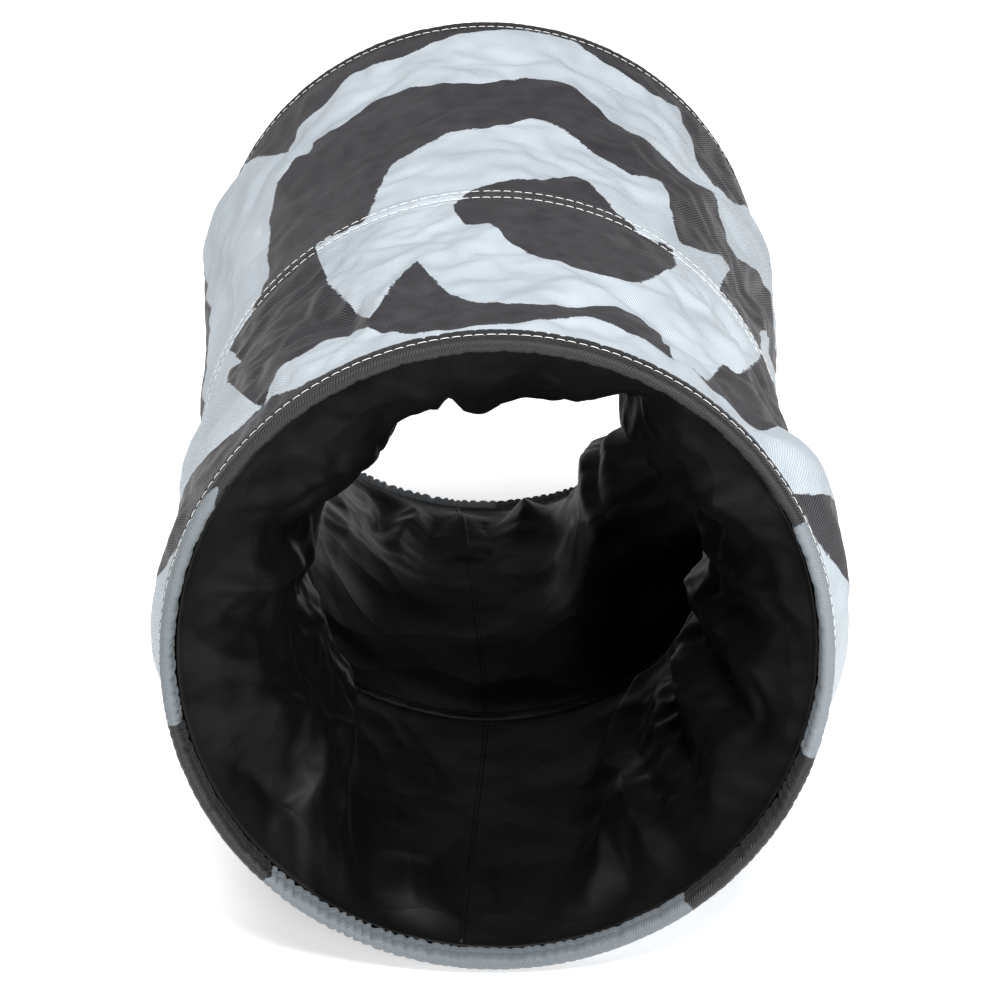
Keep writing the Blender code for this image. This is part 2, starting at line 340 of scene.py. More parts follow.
class Nodes:
    """A short way to write a node material."""

    def __init__(self, name):
        self.material = bpy.data.materials.new(name)
        self.material.use_nodes = True
        self.tree = self.material.node_tree
        self.shader = self.tree.nodes["Principled BSDF"]

    def put(self, socket, value):
        if isinstance(value, bpy.types.NodeSocket):
            self.tree.links.new(value, socket)
        elif value is not None:
            socket.default_value = value

    def add(self, kind, **inputs):
        node = self.tree.nodes.new(kind)
        for key, value in inputs.items():
            self.put(node.inputs[key.replace("_", " ")], value)
        return node

    def math(self, operation, first, second=None, third=None):
        node = self.tree.nodes.new("ShaderNodeMath")
        node.operation = operation
        for socket, value in zip(node.inputs, (first, second, third)):
            self.put(socket, value)
        return node.outputs[0]

    def attribute(self, name):
        node = self.tree.nodes.new("ShaderNodeAttribute")
        node.attribute_name = name
        return node.outputs["Fac"]

    def place(self):
        return self.tree.nodes.new("ShaderNodeTexCoord").outputs["Object"]

    def noise(self, place, scale, detail=3.0, roughness=0.5):
        node = self.add("ShaderNodeTexNoise", Vector=place, Scale=scale, Detail=detail, Roughness=roughness)
        return node.outputs["Fac"]

    def crumple(self, place, scale):
        """Sharp-edged facets, as in creased thin cloth."""
        bent = self.tree.nodes.new("ShaderNodeVectorMath")
        bent.operation = "MULTIPLY_ADD"
        sway = self.add("ShaderNodeTexNoise", Vector=place, Scale=scale * 0.6, Detail=3.0)
        self.put(bent.inputs[0], sway.outputs["Color"])
        self.put(bent.inputs[1], (0.02, 0.02, 0.02))
        self.put(bent.inputs[2], place)
        return self.add("ShaderNodeTexVoronoi", Vector=bent.outputs[0], Scale=scale).outputs["Distance"]

    def range(self, value, low, high, to_low=0.0, to_high=1.0):
        node = self.tree.nodes.new("ShaderNodeMapRange")
        for socket, number in zip(node.inputs, (value, low, high, to_low, to_high)):
            self.put(socket, number)
        return node.outputs[0]

    def mix(self, share, first, second):
        node = self.tree.nodes.new("ShaderNodeMix")
        node.data_type = "RGBA"
        self.put(node.inputs["Factor"], share)
        self.put(node.inputs[6], first)
        self.put(node.inputs[7], second)
        return node.outputs[2]

    def bump(self, height, strength, distance, normal=None):
        node = self.add("ShaderNodeBump", Height=height, Strength=strength, Distance=distance)
        self.put(node.inputs["Normal"], normal)
        return node.outputs["Normal"]

    def surface(self, **inputs):
        for key, value in inputs.items():
            self.put(self.shader.inputs[key.replace("_", " ")], value)
        return self.material


def ribs(nodes, pitch, slant):
    """Twill ribs across the cloth, from 0 to 1, in the cloth's own coordinates."""
    across = nodes.attribute("across")
    along = nodes.attribute("along")
    flow = nodes.math("ADD", nodes.math("MULTIPLY", across, math.cos(slant)),
                      nodes.math("MULTIPLY", along, math.sin(slant)))
    waver = nodes.noise(nodes.place(), 60, 2)
    flow = nodes.math("MULTIPLY_ADD", waver, pitch * 1.2, flow)
    wave = nodes.math("SINE", nodes.math("MULTIPLY", flow, TURN / pitch))
    return nodes.math("MULTIPLY_ADD", wave, 0.5, 0.5)


LIGHT_INK = (0.28, 0.318, 0.352, 1)
LIGHT_INK_WORN = (0.44, 0.484, 0.52, 1)
DARK_INK = (0.0040, 0.0037, 0.0045, 1)
DARK_INK_WORN = (0.056, 0.052, 0.060, 1)
RIM_INK = (0.012, 0.012, 0.014, 1)
# Painted shade: darker copies of the charcoal and the pale ink, for hem stretches that stand in shade.
DARK_INK_PAINTED_SHADE = (0.0050, 0.0050, 0.0055, 1)
LIGHT_INK_PAINTED_SHADE = (0.110, 0.127, 0.140, 1)


def printed_twill():
    """Charcoal and pale blue-grey print on a polyester twill."""
    nodes = Nodes("printed_twill")
    place = nodes.place()
    ragged = nodes.noise(place, 520, 4, 0.65)
    patchy = nodes.noise(place, 45, 2)
    raggedness = nodes.range(patchy, 0.44, 0.60, 0.8, 5.0)
    wobble = nodes.math("MULTIPLY", nodes.math("SUBTRACT", ragged, 0.5), raggedness)
    depth = nodes.math("ADD", nodes.attribute("print"), wobble)
    light = nodes.range(depth, -0.12, 0.12)
    rib = ribs(nodes, 0.00105, math.radians(24))
    thread = nodes.noise(place, 2600, 2)
    cloud = nodes.noise(place, 22, 4, 0.55)
    wear = nodes.noise(place, 140, 3, 0.6)
    light_tone = nodes.mix(nodes.math("MULTIPLY_ADD", rib, 0.45, nodes.range(cloud, 0.35, 0.7, 0.0, 0.5)),
                           LIGHT_INK, LIGHT_INK_WORN)
    worn_rib = nodes.math("MULTIPLY", nodes.math("POWER", rib, 2.0), nodes.range(wear, 0.3, 0.7, 0.5, 1.2))
    dark_tone = nodes.mix(worn_rib, DARK_INK, DARK_INK_WORN)
    tone = nodes.mix(light, dark_tone, light_tone)
    from_rim = nodes.math("ABSOLUTE", nodes.math("SUBTRACT", depth, 0.15))
    rim = nodes.math("SUBTRACT", 1.0, nodes.range(from_rim, 0.0, 0.3))
    rim = nodes.math("MULTIPLY", rim, nodes.range(patchy, 0.46, 0.56, 0.0, 0.9))
    tone = nodes.mix(rim, tone, RIM_INK)
    # Painted shade: where a piece carries the shade attribute, its print is mixed towards the darker inks.
    painted_shade = nodes.mix(light, DARK_INK_PAINTED_SHADE, LIGHT_INK_PAINTED_SHADE)
    tone = nodes.mix(nodes.attribute("painted_shade"), tone, painted_shade)
    height = nodes.math("MULTIPLY_ADD", thread, 0.35, rib)
    fine = nodes.bump(height, 1.0, 0.00016)
    slack = nodes.bump(nodes.crumple(place, 24), 0.45, 0.0014, fine)
    return nodes.surface(Base_Color=tone, Roughness=nodes.range(wear, 0.3, 0.7, 0.50, 0.62), Normal=slack,
                         Sheen_Weight=0.04, Sheen_Roughness=0.5, Specular_IOR_Level=0.38)


def lining_cloth():
    """Thin black polyester with a faint shine."""
    nodes = Nodes("lining_cloth")
    place = nodes.place()
    rib = ribs(nodes, 0.0007, math.radians(90))
    cross = ribs(nodes, 0.0007, 0.0)
    weave = nodes.math("MULTIPLY", rib, cross)
    cloud = nodes.noise(place, 30, 4, 0.6)
    tone = nodes.mix(cloud, (0.0012, 0.0012, 0.0013, 1), (0.0026, 0.0026, 0.0028, 1))
    fine = nodes.bump(weave, 0.2, 0.00005)
    creased = nodes.bump(nodes.crumple(place, 34), 0.8, 0.0028, fine)
    shine = nodes.range(cloud, 0.3, 0.7, 0.46, 0.56)
    return nodes.surface(Base_Color=tone, Roughness=shine, Normal=creased,
                         Sheen_Weight=0.004, Sheen_Roughness=0.4, Specular_IOR_Level=0.12)


def sewing_thread():
    """White polyester thread with a twisted ply."""
    nodes = Nodes("white_thread")
    place = nodes.place()
    twist = nodes.noise(place, 1800, 2)
    tone = nodes.mix(nodes.noise(place, 90, 2), (0.86, 0.86, 0.84, 1), (0.70, 0.71, 0.71, 1))
    return nodes.surface(Base_Color=tone, Roughness=0.55, Normal=nodes.bump(twist, 0.6, 0.00008))


def metal(name, low, high, scale):
    """Bare metal with fine marks."""
    nodes = Nodes(name)
    marks = nodes.noise(nodes.place(), scale, 4, 0.6)
    tone = nodes.mix(marks, low, high)
    return nodes.surface(Base_Color=tone, Metallic=1.0, Roughness=nodes.range(marks, 0.3, 0.7, 0.25, 0.45),
                         Normal=nodes.bump(marks, 0.3, 0.0001))


def studio_floor():
    """Pale matt floor with a barely visible grain."""
    nodes = Nodes("studio_floor")
    grain = nodes.noise(nodes.place(), 35, 3)
    tone = nodes.mix(grain, (0.94, 0.94, 0.94, 1), (0.97, 0.97, 0.97, 1))
    return nodes.surface(Base_Color=tone, Roughness=0.9, Specular_IOR_Level=0.1,
                         Emission_Color=(1, 1, 1, 1), Emission_Strength=0.5)


TWILL = printed_twill()
LINING = lining_cloth()
THREAD = sewing_thread()
STEEL = metal("spring_steel", (0.30, 0.30, 0.31, 1), (0.46, 0.46, 0.47, 1), 700)
CRIMP = metal("crimp_metal", (0.55, 0.55, 0.57, 1), (0.72, 0.72, 0.73, 1), 500)


# --- Cloth ---------------------------------------------------------------------------------------


def panel_grid(hoop, depth, hem_end, seam_end):
    """A tube of cloth from a hem (row 0) to the middle seam (last row), before it wrinkles."""
    angles = np.radians(np.arange(COLUMNS) * 360 / COLUMNS - 180)
    at_hem = hoop.points(angles, hem_end, depth)
    at_seam = MIDDLE.points(angles, -hoop.facing * seam_end, depth)
    share = np.linspace(0, 1, ROWS + 1)[:, None, None]
    return at_hem + (at_seam - at_hem) * share


def outward(points):
    """Unit vectors away from the tunnel's axis."""
    x, y, z = (points[..., axis] for axis in range(3))
    spokes = np.stack([x, 0 * x, z - tube_centre(y)], -1)
    return spokes / np.linalg.norm(spokes, axis=-1, keepdims=True)


def crease(angle, y, start, end, width, height):
    """A fold along a straight line on the unrolled cloth: a sharp ridge, or a valley below 0."""
    places = np.stack([turned(angle, 0) * MM_PER_DEGREE, y * 1000], -1)
    first, last = (np.array((point[0] * MM_PER_DEGREE, point[1]), float) for point in (start, end))
    line = last - first
    share = np.clip(((places - first) @ line) / (line @ line), 0, 1)
    away = np.linalg.norm(places - first - share[..., None] * line, axis=-1)
    side = np.clip(1 - away / width, 0, 1)
    return height / 1000 * side * np.sin(np.pi * np.clip(share, 0.08, 0.92))


def drape(piece, hold, spare, bending, gravity):
    """Let the cloth settle from its sculpted shape. Its cut is larger by the share that spare says."""
    group = piece.vertex_groups.new(name="hold")
    for index, weight in enumerate(hold.ravel()):
        group.add([index], float(weight), "REPLACE")
    cloth = piece.modifiers.new("Cloth", "CLOTH")
    settings = cloth.settings
    settings.quality = 6
    settings.mass = 0.02
    settings.air_damping = 1
    settings.tension_stiffness = settings.compression_stiffness = 40
    settings.shear_stiffness = 20
    settings.bending_stiffness = bending
    settings.tension_damping = settings.compression_damping = 2
    settings.vertex_group_mass = "hold"
    settings.shrink_min = -spare
    settings.effector_weights.gravity = gravity
    cloth.collision_settings.use_collision = False
    cloth.point_cache.frame_start = 1
    cloth.point_cache.frame_end = FRAMES
    for number in range(1, FRAMES + 1):
        bpy.context.scene.frame_set(number)
    apply_modifiers(piece)
    bpy.context.scene.frame_set(1)


def hold_weights(middle):
    """Hold the cloth fast at both hoops, and loosely in between."""
    row = np.arange(ROWS + 1)
    edge = np.minimum(row, ROWS - row)
    weights = np.where(edge <= 0, 1.0, np.where(edge == 1, 0.6, middle))
    return np.repeat(weights[:, None], COLUMNS, 1)


def iron(piece, share, rounds):
    """Flatten the small wrinkles of the settled grid. Share is how strongly, for each place of the grid."""
    points = coordinates(piece.data).reshape(ROWS + 1, COLUMNS, 3)
    share = share * smooth(0, 4, np.minimum(np.arange(ROWS + 1), np.arange(ROWS, -1, -1)))[:, None]
    for _ in range(rounds):
        mean = (np.roll(points, 1, 1) + np.roll(points, -1, 1)) / 4
        mean[1:-1] += (points[:-2] + points[2:]) / 4
        mean[[0, -1]] *= 2
        points = points + share[..., None] * (mean - points)
    set_coordinates(piece.data, points.reshape(-1, 3))


def refine(piece):
    """Divide the settled cloth into smaller faces."""
    finer = piece.modifiers.new("Subdivision", "SUBSURF")
    finer.levels = finer.render_levels = 1
    apply_modifiers(piece)


def hoop_fade(piece):
    """0 where a sheet is sewn to its hoops and 1 in between."""
    share = read_attribute(piece, "along") / FLAT_LENGTH
    return smooth(0.01, 0.11, np.minimum(share, 1 - share))


def fold_lift(piece, creases, seed):
    """How far the sharp folds lift each point of the refined cloth."""
    points = coordinates(piece.data)
    spokes = outward(points)
    angle = np.degrees(np.arctan2(spokes[:, 0], spokes[:, 2]))
    sway = 0.4 * wander(points * 45, seed + 60, 2)
    lift = 0 * angle
    for start, end, width, height in creases:
        lift = lift + crease(angle + 5 * sway, points[:, 1] + 0.004 * sway, start, end, width, height)
    return lift * hoop_fade(piece)


def facet_lift(piece, height, scale, seed, stretch):
    """How far the crumpled facets lift each point of the refined cloth."""
    return height * facets(coordinates(piece.data), scale, seed, stretch) * hoop_fade(piece)


def push_out(piece, lift):
    """Move each point away from the tunnel's axis, but not through the floor."""
    points = coordinates(piece.data)
    points += outward(points) * lift[:, None]
    points[:, 2] = np.maximum(points[:, 2], FLOOR_CLEARANCE)
    set_coordinates(piece.data, points)


def thicken(piece, thickness):
    """Give the cloth its thickness."""
    solid = piece.modifiers.new("Solidify", "SOLIDIFY")
    solid.thickness = thickness
    solid.offset = 0
    apply_modifiers(piece)


def read_attribute(piece, name):
    values = np.empty(len(piece.data.vertices), np.float32)
    piece.data.attributes[name].data.foreach_get("value", values)
    return values


def add_cloth_grid(piece):
    """Mark each vertex with its place on the cloth before sewing, in metres."""
    angle = np.repeat(np.linspace(-math.pi, math.pi, COLUMNS, endpoint=False)[None], ROWS + 1, 0)
    along = np.repeat((np.linspace(0, 1, ROWS + 1) * FLAT_LENGTH)[:, None], COLUMNS, 1)
    set_attribute(piece, "across", (angle * END_RADIUS).ravel())
    set_attribute(piece, "along", along.ravel())


def blurred(piece, values, rounds):
    """The values at the piece's vertices, averaged with their neighbours again and again."""
    ends = np.empty(len(piece.data.edges) * 2, np.int32)
    piece.data.edges.foreach_get("vertices", ends)
    first, second = ends.reshape(-1, 2).T
    count = len(values)
    neighbours = np.bincount(first, minlength=count) + np.bincount(second, minlength=count)
    for _ in range(rounds):
        total = np.bincount(first, values[second], count) + np.bincount(second, values[first], count)
        values = (values + total / neighbours) / 2
    return values


def print_on(piece):
    """Write the print's outline distance on each vertex.

    The outlines are drawn for a smooth tunnel seen from the camera's side, so where the cloth swells in
    or out they move with it. The small wrinkles carry the print along, as on real cloth.
    """
    points = coordinates(piece.data)
    spokes = outward(points)
    height = tube_centre(points[:, 1])
    proud = blurred(piece, np.hypot(points[:, 0], points[:, 2] - height) - height, PRINT_BLUR)
    sight = np.array(CAMERA_PLACE) - points
    sight /= np.linalg.norm(sight, axis=1, keepdims=True)
    facing = (sight * spokes).sum(1)
    slide = proud / np.maximum(facing, 0.4) * smooth(-0.1, 0.2, facing)
    places = points - sight * slide[:, None]
    angle = np.degrees(np.arctan2(places[:, 0], places[:, 2] - tube_centre(places[:, 1])))
    set_attribute(piece, "print", print_depth(angle, places[:, 1]))


# Folds of the shell and the lining, each from (degrees, mm along Y) to (degrees, mm), with the half width
# in mm of its flanks and its height in mm. Heights are outwards on the shell and inwards on the lining.
SHELL_CREASES = {
    "front": [
        ((-14, -88), (-24, -170), 16, 7),
        ((-24, -140), (-44, -60), 16, -4),
        ((-14, -88), (8, -60), 14, 3),
        ((20, -100), (44, -150), 18, -4),
        ((34, -20), (52, -120), 16, 5),
        ((48, -20), (66, -110), 14, -5),
        ((60, -60), (78, -150), 20, 1),
        ((-60, -40), (-78, -150), 20, 2),
        ((-90, -60), (-104, -160), 18, -5),
        ((100, -60), (112, -170), 20, -5),
        ((2, -120), (30, -128), 14, 3),
    ],
    "rear": [
        ((-8, 96), (-30, 60), 14, -3),
        ((4, 92), (26, 84), 12, -4),
        ((-40, 30), (-52, 150), 18, 5),
        ((36, 40), (60, 120), 18, 5),
        ((56, 10), (74, 100), 16, -5),
        ((-66, 30), (-78, 160), 18, -5),
        ((-20, 100), (10, 150), 16, 3),
        ((84, 20), (96, 170), 20, 1),
        ((-92, 20), (-100, 180), 22, 1),
        ((14, 160), (44, 150), 14, -3),
    ],
}
SHELL_SPARE = {"front": 0.022, "rear": 0.016}
SHELL_HOLD = 0.14

# Where the shell bulges: degrees, half width in degrees, mm along Y, half length in mm, height in mm.
SHELL_SWELLS = {
    "front": [
        (80, 34, -175, 105, 8.5), (60, 20, -168, 55, 8.0), (-80, 30, -180, 70, 4.0),
        (0, 60, -110, 80, -1),
    ],
    "rear": [(-78, 28, 165, 95, 6.5), (82, 28, 140, 75, 5.0), (0, 60, 100, 80, -1)],
}


def shell_swell(half, angle, y):
    """How far the shell stands out between its hoops, in metres."""
    swell = 0 * y
    for at_angle, wide, at_y, long, height in SHELL_SWELLS[half]:
        swell = swell + height / 1000 * hump(turned(angle, at_angle), 0, wide) * hump(y * 1000, at_y, long)
    return swell


def make_shell(half, hoop):
    """The printed outer cloth of one half."""
    flat = panel_grid(hoop, 0.0003, HEM_DEPTH - 0.001, SEAM_HALF_WIDTH - 0.0005)
    spokes = outward(flat)
    angle = np.degrees(np.arctan2(spokes[..., 0], spokes[..., 2]))
    share = np.repeat(np.linspace(0, 1, ROWS + 1)[:, None], COLUMNS, 1)
    lift = shell_swell(half, angle, flat[..., 1]) * smooth(0, 0.06, np.minimum(share, 1 - share))
    fade = smooth(0, 0.18, np.minimum(share, 1 - share))
    crumple = wander(flat.reshape(-1, 3) * 30, 3 if half == "front" else 8).reshape(lift.shape)
    lift = lift + fade * 0.0015 * crumple
    start_shape = flat + spokes * lift[..., None]
    start_shape[..., 2] = np.maximum(start_shape[..., 2], FLOOR_CLEARANCE)

    piece = make_piece(half + "_twill_shell", start_shape, grid_faces(ROWS + 1, COLUMNS, False), TWILL)
    add_cloth_grid(piece)
    drape(piece, hold_weights(SHELL_HOLD), SHELL_SPARE[half], 1.5, 0.4)
    refine(piece)
    push_out(piece, fold_lift(piece, SHELL_CREASES[half], 3 + hoop.facing))
    print_on(piece)
    push_out(piece, facet_lift(piece, 0.0040, 20, 3 + hoop.facing, 1.3))
    thicken(piece, SHELL_THICKNESS)
    return piece


# The hanging lining's distance in mm from the axis at each angle in degrees, where it hangs lowest.
LINING_REACH = {
    "front": [
        (-180, 118), (-166, 117), (-154, 114), (-147, 108), (-140, 90), (-134, 82), (-126, 82),
        (-110, 80), (-94, 78), (-81, 80), (-67, 76), (-53, 70), (-35, 74), (-27, 79), (-18, 77),
        (-12, 80), (-9, 80), (-7, 72), (0, 75), (18, 80), (26, 86), (29, 96), (33, 97), (37, 86),
        (44, 82), (56, 83), (72, 88), (86, 90), (104, 88), (120, 92), (134, 100), (146, 108), (156, 110),
        (166, 117),
    ],
    "rear": [
        (-180, 117), (-165, 115), (-152, 111), (-138, 106), (-122, 96), (-100, 88), (-60, 84), (-30, 84),
        (0, 86), (30, 86), (60, 88), (84, 90), (100, 92), (110, 94), (117, 88), (124, 78), (132, 65),
        (140, 64), (147, 74), (152, 92), (158, 108), (168, 116),
    ],
}
LINING_CREASES = {
    "front": [
        ((-152, -206), (-136, -140), 15, 7),
        ((-98, -206), (-122, -150), 20, 7),
        ((-122, -150), (-148, -200), 13, 6),
        ((-110, -196), (-136, -176), 16, -6),
        ((-92, -150), (-96, -60), 22, -6),
        ((-76, -204), (-82, -126), 14, 8),
        ((-62, -200), (-70, -110), 18, -6),
        ((-46, -204), (-38, -120), 16, 5),
        ((-20, -206), (-9, -120), 12, 5),
        ((-14, -170), (-10, -100), 8, -6),
        ((10, -204), (6, -120), 12, -4),
        ((30, -196), (32, -100), 8, -2),
        ((56, -206), (60, -110), 18, 6),
        ((84, -206), (78, -110), 16, 7),
        ((100, -206), (94, -50), 14, 8),
        ((110, -200), (108, -90), 12, -7),
        ((122, -206), (116, -80), 16, 8),
        ((134, -200), (126, -50), 14, -6),
        ((146, -206), (152, -110), 14, 7),
        ((-166, -206), (-160, -150), 18, 8),
        ((-176, -204), (-172, -130), 16, -3),
        ((166, -206), (148, -120), 18, 8),
        ((174, -150), (164, -60), 20, 4),
        ((158, -120), (140, -30), 16, 9),
        ((-168, -100), (-152, -30), 16, 5),
    ],
    "rear": [
        ((-150, 206), (-146, 90), 16, 3),
        ((-164, 206), (-158, 110), 14, 6),
        ((-157, 200), (-152, 120), 12, -5),
        ((-172, 206), (-176, 120), 16, 5),
        ((170, 206), (172, 160), 12, 7),
        ((158, 200), (154, 60), 16, 6),
        ((118, 200), (122, 20), 16, 4),
        ((134, 200), (138, 40), 14, -8),
        ((100, 200), (104, 10), 16, -8),
        ((-120, 200), (-118, 10), 20, 8),
        ((-136, 190), (-130, 20), 16, -6),
        ((-96, 200), (-92, 10), 18, 6),
    ],
}
LINING_PEAK = {"front": 0.50, "rear": 0.48}
LINING_SPARE = {"front": 0.025, "rear": 0.014}
LINING_IRONED = {"front": (138, 158), "rear": (-2, -1)}
LINING_FACETS = {"front": (0.0095, 15), "rear": (0.0120, 11)}
LINING_HOLD = 0.20


def lining_reach(half, angle):
    """The hanging lining's distance from the axis where it hangs lowest, in metres."""
    knots = np.array(sorted(LINING_REACH[half]), float)
    knots = np.vstack([knots - (360, 0), knots, knots + (360, 0)])
    blur = np.arange(-2, 3) * 1.0
    reach = sum(np.interp(angle + shift, knots[:, 0], knots[:, 1]) for shift in blur) / len(blur)
    return reach / 1000


def make_lining(half, hoop):
    """The black cloth inside one half, which hangs loose between the hoops."""
    flat = panel_grid(hoop, LINING_DEPTH, HEM_DEPTH - 0.0015, FOLD_HALF)
    spokes = outward(flat)
    angle = np.degrees(np.arctan2(spokes[..., 0], spokes[..., 2]))
    share = np.repeat(np.linspace(0, 1, ROWS + 1)[:, None], COLUMNS, 1)
    full = np.linalg.norm(flat[..., [0, 2]] - np.stack([0 * share, tube_centre(flat[..., 1])], -1), axis=-1)
    peak = LINING_PEAK[half]
    from_hem = np.sin(np.pi / 2 * share / peak)
    from_seam = np.sin(np.pi / 2 * (1 - share) / (1 - peak))
    hang = np.where(share < peak, from_hem, from_seam)
    fade = smooth(0, 0.15, np.minimum(share, 1 - share))
    drop = (full - lining_reach(half, angle)) * hang ** 0.85
    seed = 21 if half == "front" else 34
    crumple = wander(flat.reshape(-1, 3) * 24, seed).reshape(share.shape)
    drop = drop + fade * (0.0045 + 0.003 * crumple)
    start_shape = flat - spokes * drop[..., None]
    piece = make_piece(half + "_black_lining", start_shape, grid_faces(ROWS + 1, COLUMNS, False), LINING)
    piece.data.flip_normals()
    add_cloth_grid(piece)
    drape(piece, hold_weights(LINING_HOLD), LINING_SPARE[half], 0.8, 0.5)
    flatness = smooth(*LINING_IRONED[half], np.abs(angle))
    iron(piece, 0.6 * flatness, 14)
    refine(piece)
    height, scale = LINING_FACETS[half]
    lift = fold_lift(piece, LINING_CREASES[half], seed) + facet_lift(piece, height, scale, seed, 1.7)
    points = coordinates(piece.data)
    spokes = outward(points)
    centre = np.stack([0 * points[:, 0], points[:, 1], tube_centre(points[:, 1])], -1)
    reach = np.linalg.norm((points - centre)[:, [0, 2]], axis=1)
    limit = tube_centre(points[:, 1]) - LINING_DEPTH - 0.0004
    set_coordinates(piece.data, centre + spokes * np.minimum(reach - lift, limit)[:, None])
    thicken(piece, LINING_THICKNESS)
    return piece


# --- Hems, seam and ridge ------------------------------------------------------------------------


def strip_section(path, thickness):
    """The closed outline of a folded strip from its centre line, as rows of (along, depth)."""
    path = np.array(path, float)
    tangent = np.gradient(path, axis=0)
    tangent /= np.linalg.norm(tangent, axis=1, keepdims=True)
    normal = np.stack([-tangent[:, 1], tangent[:, 0]], -1) * thickness / 2
    return np.vstack([path + normal, (path - normal)[::-1]])


def roll_path(stitch):
    """A hem's centre line: outer leg, round the wire, inner leg. The stitches pull both legs in."""
    centre = FOLD_HALF
    radius = HEM_ROLL
    legs = np.linspace(HEM_DEPTH, 0.0004, 16)
    pull = STITCH_VALLEY * np.exp(-((legs - stitch) / 0.0011) ** 2)
    drop = (centre - radius) * (1 - 0.7 * smooth(0.001, 0.004, legs))
    outer = list(zip(legs, drop + pull))
    turn = np.linspace(-math.pi / 2, math.pi / 2, NOSE_STEPS)
    nose = [(-radius * math.cos(step), centre + radius * math.sin(step)) for step in turn]
    inner = [(along, centre + radius + 0.0002 - dip * 0.5) for along, dip in zip(legs[::-1], pull[::-1])]
    return np.array(outer + nose[1:-1] + inner)


# Light stretches of each hem: first and last degree, each with its slant in degrees per metre of depth.
HEM_LIGHTS = {
    "front": [(64, 0, 108, 0), (144, 300, 225, -200), (259, 0, 301, -1500)],
    "rear": [(96, 0, 128, 600), (178, 0, 232, 300), (276, 0, 290, -600)],
}


def hem_tone(half, degrees, along):
    """Millimetres inside the light print along a hem. The print's edges slant across the hem."""
    found = np.full(degrees.shape, -1e9)
    for low, low_slant, high, high_slant in HEM_LIGHTS[half]:
        middle = (low + high) / 2
        place = middle + turned(degrees, middle)
        inside = np.minimum(place - low - low_slant * along, high + high_slant * along - place)
        found = np.maximum(found, inside)
    return np.clip(found * MM_PER_DEGREE, -20, 20)


# Gathered stretches of each hem: degrees, half width in degrees, strength.
RUFFLES = {
    "front": [
        (207, 10, 1.9), (196, 12, 0.8), (170, 20, 0.3), (222, 10, 0.8), (265, 25, 0.3), (120, 25, 0.3),
    ],
    "rear": [(150, 26, 0.7), (200, 26, 0.8), (180, 40, 0.4)],
}


PUCKER_LIMIT = 0.0017


def make_hem(half, hoop):
    """Printed twill rolled round an end hoop's wire and sewn down."""
    angles = np.linspace(-math.pi, math.pi, HEM_COLUMNS, endpoint=False)
    degrees = np.degrees(angles)
    ruffle = 0.10 + sum(size * hump(turned(degrees, at), 0, width) for at, width, size in RUFFLES[half])
    fine = ripple(angles, 5, 190)
    coarse = ripple(angles, 9, 46)
    swell = 0.0006 * ring_noise(angles, 12, 60)
    path = roll_path(HEM_STITCH[half])
    section = strip_section(path, 0.0008)
    rows = []
    for along, depth in section:
        inner = smooth(0.001, 0.0055, depth)
        pucker = (0.0001 + 0.0007 * ruffle + 0.0014 * ruffle * inner) * fine
        pucker = np.minimum(pucker + 0.0005 * coarse * (0.1 + inner), PUCKER_LIMIT)
        shift = 0.0004 * ring_noise(angles, 31, 90) * inner
        centre_pull = (depth - FOLD_HALF) / FOLD_HALF
        rows.append(hoop.points(angles, along + shift + pucker * np.sign(FOLD_HALF - abs(along)) * 0.2,
                                depth - centre_pull * pucker - swell * 0.3))
    points = np.stack(rows)
    piece = make_piece(half + "_rolled_hem", points, grid_faces(len(rows), HEM_COLUMNS, True), TWILL)
    across = np.repeat((np.radians((degrees - HEM_JOIN) % 360) * END_RADIUS)[None], len(rows), 0)
    arc = np.concatenate([[0], np.cumsum(np.linalg.norm(np.diff(section, axis=0), axis=1))])
    slant = section[:, :1] * smooth(0.006, 0.002, section[:, 1:])
    tone = hem_tone(half, degrees[None] + 0 * slant, slant)
    set_attribute(piece, "across", across.ravel())
    set_attribute(piece, "along", np.repeat(arc[:, None], HEM_COLUMNS, 1).ravel())
    set_attribute(piece, "print", tone.ravel())
    # Painted shade: the hem's print is darkened all round, more at the bottom (184 degrees) and on the left
    # side (278 degrees), where the rim stands in shade.
    painted_shade = 0.82 + 0.18 * smooth(80, 50, np.abs(turned(degrees, 184)))
    painted_shade = np.minimum(painted_shade + 0.18 * hump(turned(degrees, 278), 0, 60), 1)
    set_attribute(piece, "painted_shade", np.repeat(painted_shade[None], len(rows), 0).ravel())
    turn_out(piece)
    return piece


def turn_out(piece):
    """Make a closed piece's faces look outward."""
    build = bmesh.new()
    build.from_mesh(piece.data)
    bmesh.ops.recalc_face_normals(build, faces=build.faces)
    build.to_mesh(piece.data)
    build.free()


def make_seam():
    """The folded seam over the middle wire, on the outside."""
    angles = np.linspace(-math.pi, math.pi, RING_COLUMNS, endpoint=False)
    degrees = np.degrees(angles)
    half = SEAM_HALF_WIDTH
    path = [
        (-half - 0.001, 0.0009), (-half, 0.0004), (-0.0054, 0.0002), (SEAM_ROWS[0], 0.0009),
        (-0.0034, 0.0001), (-0.0018, -0.0005), (0.0, -0.0005), (0.0007, -0.0004), (SEAM_ROWS[1], 0.0),
        (0.0022, -0.0003), (0.0040, -0.0001), (half, 0.0004), (half + 0.001, 0.0009),
    ]
    section = strip_section(path, 0.0007)
    coarse = ripple(angles, 41, 60)
    sway = 0.0009 * ring_noise(angles, 44, 14)
    rows = []
    for along, depth in section:
        edge = smooth(half + 0.001, 0.003, abs(along))
        rows.append(MIDDLE.points(angles, along + sway * 0.5, depth + 0.0005 * coarse * edge - 0.0002))
    points = np.stack(rows)
    points[..., 2] = np.maximum(points[..., 2], 0.0003)
    piece = make_piece("middle_folded_seam", points, grid_faces(len(rows), RING_COLUMNS, True), TWILL)
    set_attribute(piece, "across", np.repeat((angles * END_RADIUS)[None], len(rows), 0).ravel())
    set_attribute(piece, "along", np.repeat(section[:, :1], RING_COLUMNS, 1).ravel())
    turn_out(piece)
    print_on(piece)
    return piece


